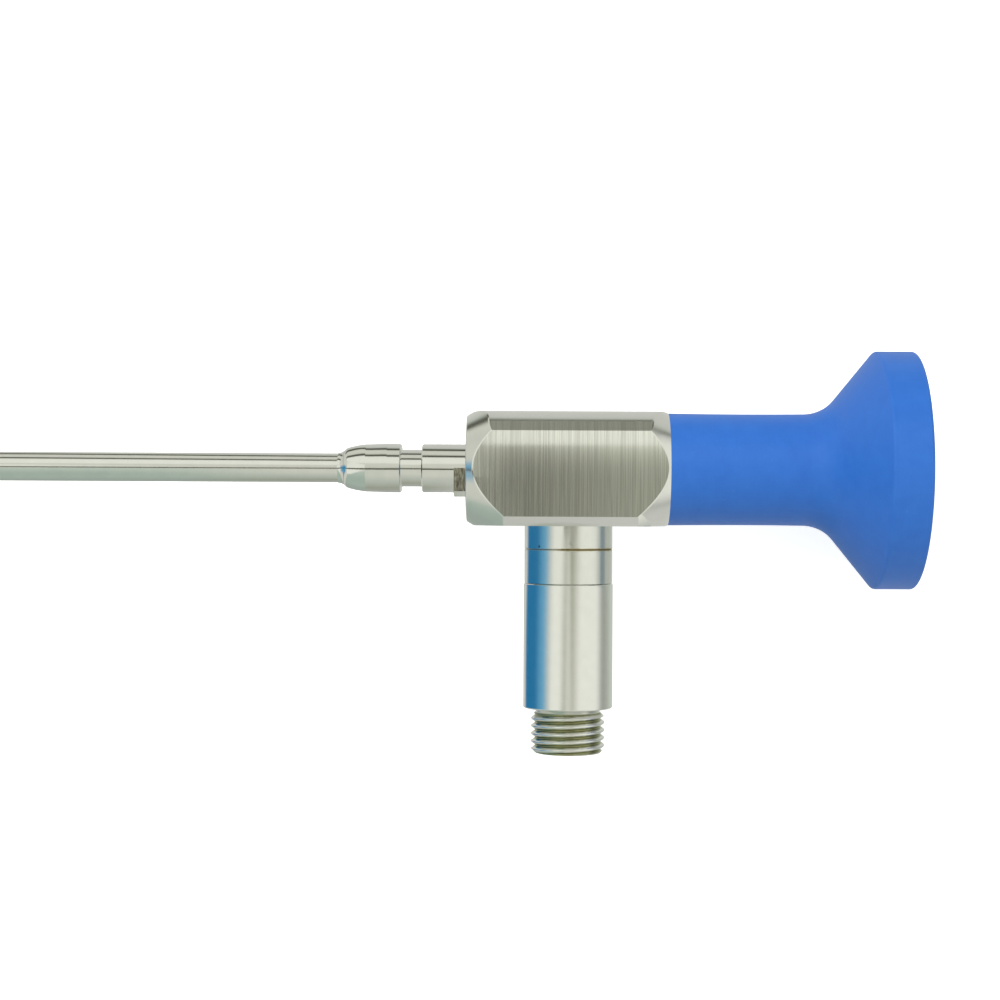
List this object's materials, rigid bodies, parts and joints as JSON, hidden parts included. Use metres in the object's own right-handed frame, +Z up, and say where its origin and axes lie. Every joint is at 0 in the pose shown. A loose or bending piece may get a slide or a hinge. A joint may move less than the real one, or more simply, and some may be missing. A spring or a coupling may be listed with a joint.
{
  "type": "rigid endoscope",
  "caption": "Rigid rod-lens endoscope lying at rest: slim steel shaft with oblique tip, lock hub, brushed steel body with side light post, blue grip and flared eyecup.",
  "frame": {"origin": "centre of the footprint's box, on the surface that the scope lies on", "axes": "+X along the shaft towards the eyepiece, seen from above; -Y roughly along the light post; +Z up. The scope rests on its tip, the rim's front edge and the end of the light post."},
  "size_m": [0.2188, 0.055, 0.0326],
  "materials": {
    "polished_steel": "polished stainless steel",
    "brushed_body": "brushed stainless steel",
    "satin_post": "turned satin stainless steel",
    "blue_plastic": "satin blue plastic",
    "optical_glass": "polished optical glass",
    "fibre_glass": "ground and polished fibre ends",
    "seal_rubber": "black elastomer",
    "black_stop": "blackened metal"
  },
  "bodies": {
    "root": {"body_block": "brushed_body", "bundle_sleeve": "polished_steel", "centring_collar": "black_stop", "distal_window": "optical_glass", "eyecup": "blue_plastic", "eyepiece_window": "optical_glass", "fibre_bundle": "fibre_glass", "field_stop": "black_stop", "light_inlet_rod": "optical_glass", "light_post_base": "polished_steel", "light_post_connector": "polished_steel", "light_post_ring": "polished_steel", "light_post_sleeve": "satin_post", "lock_hub": "polished_steel", "objective_lens_front": "optical_glass", "objective_lens_rear": "optical_glass", "objective_spacer": "polished_steel", "ocular_lens_front": "optical_glass", "ocular_lens_rear": "optical_glass", "ocular_retainer": "black_stop", "ocular_seal_front": "seal_rubber", "ocular_seal_rear": "seal_rubber", "ocular_spacer": "black_stop", "ocular_tube": "satin_post", "optic_tube": "polished_steel", "rod_lens_1": "optical_glass", "rod_lens_2": "optical_glass", "rod_lens_3": "optical_glass", "rod_lens_4": "optical_glass", "rod_lens_5": "optical_glass", "rod_lens_6": "optical_glass", "rod_spacer_1": "polished_steel", "rod_spacer_2": "polished_steel", "rod_spacer_3": "polished_steel", "rod_spacer_4": "polished_steel", "rod_spacer_5": "polished_steel", "rod_spacer_6": "polished_steel", "shaft_ferrule": "polished_steel", "shaft_tube": "polished_steel", "tip_prism": "optical_glass", "window_ring": "satin_post"}
  },
  "joints": []
}
